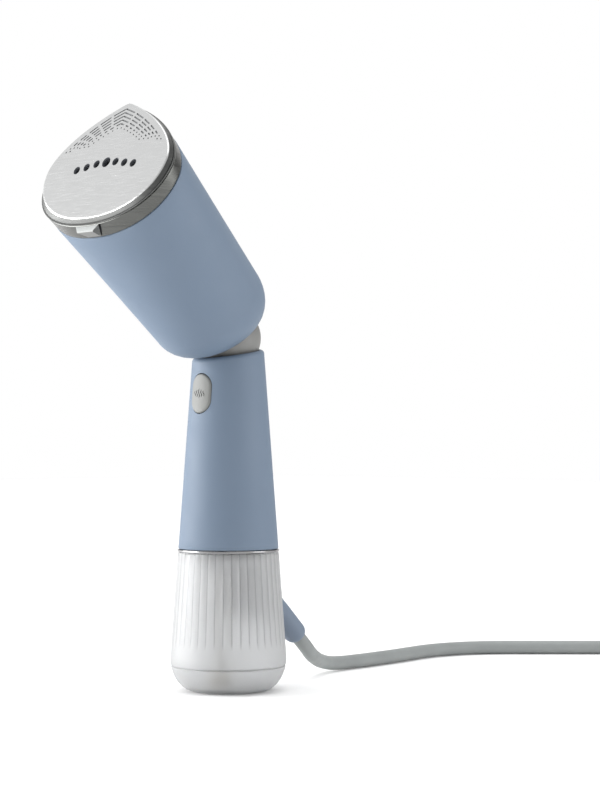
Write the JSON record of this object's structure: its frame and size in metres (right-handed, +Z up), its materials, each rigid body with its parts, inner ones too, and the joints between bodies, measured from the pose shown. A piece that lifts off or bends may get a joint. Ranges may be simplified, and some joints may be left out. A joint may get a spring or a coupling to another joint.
{
  "type": "handheld garment steamer",
  "caption": "Upright handheld garment steamer: tilting steam head with slanted drop-shaped plate, tapered handle, pull-off fluted water tank and mains cord.",
  "frame": {"origin": "centre of the tank's flat bottom, which stands on the table", "axes": "+Z up along the handle; -Y is the side of the button and of the steam plate, +Y the side where the cord leaves; +X is the neck's hinge axis"},
  "size_m": [0.1366, 0.4956, 0.2869],
  "materials": {
    "blue_shell": "satin",
    "deep_blue": "satin",
    "neck_grey": "matte",
    "button_grey": "satin",
    "dark_plastic": "matte",
    "white_plastic": "satin",
    "frosted_plastic": "frosted",
    "steel": "brushed",
    "plate_finish": "satin",
    "aluminium": "cast",
    "brass": "satin",
    "silicone": "matte",
    "circuit": "matte",
    "cord_grey": "satin"
  },
  "bodies": {
    "handle": {"chassis_screw_1": "steel", "chassis_screw_2": "steel", "chassis_screw_3": "steel", "chassis_screw_4": "steel", "control_board": "circuit", "cord_coil": "cord_grey", "cord_end": "cord_grey", "cord_grip": "dark_plastic", "cord_tail": "cord_grey", "cord_tie": "dark_plastic", "dip_tube": "silicone", "filter_weight": "brass", "handle_chassis": "dark_plastic", "handle_shell": "blue_shell", "hinge_pin_left": "steel", "hinge_pin_right": "steel", "inlet_spigot": "white_plastic", "micro_switch": "dark_plastic", "neck_ball": "neck_grey", "plug_body": "cord_grey", "plug_pin_1": "steel", "plug_pin_2": "steel", "plug_relief": "cord_grey", "power_cord": "cord_grey", "pump_body": "dark_plastic", "pump_clamp": "steel", "strain_relief": "deep_blue", "tank_seal": "silicone", "trim_ring": "steel", "water_hose_lower": "silicone"},
    "head": {"head_shell": "blue_shell", "steel_band": "steel", "steam_plate": "plate_finish", "attachment_catch": "neck_grey", "plate_carrier": "dark_plastic", "plate_gasket": "silicone", "head_bracket": "dark_plastic", "heat_shield": "aluminium", "boiler_body": "aluminium", "boiler_cover": "aluminium", "heating_element": "steel", "thermostat": "steel", "thermal_fuse": "white_plastic", "water_hose_upper": "silicone", "bracket_screw_1": "steel", "bracket_screw_2": "steel", "bracket_screw_3": "steel", "bracket_screw_4": "steel", "boiler_screw_1": "steel", "boiler_screw_2": "steel", "boiler_screw_3": "steel", "boiler_screw_4": "steel"},
    "trigger": {"trigger_button": "button_grey"},
    "tank": {"tank_base": "frosted_plastic", "tank_body": "frosted_plastic", "tank_neck": "white_plastic"}
  },
  "joints": [
    {"name": "head_tilt", "type": "hinge", "parent": "handle", "child": "head", "pos_m": [0, 0, 0.176], "axis": [1, 0, 0], "range_deg": [-45, 0]},
    {"name": "trigger_press", "type": "slide", "parent": "handle", "child": "trigger", "axis": [0, 1, 0], "range_m": [0, 0.0012], "stiffness_N_per_m": 800},
    {"name": "tank_pull", "type": "slide", "parent": "handle", "child": "tank", "axis": [0, 0, -1], "range_m": [0, 0.075]}
  ]
}
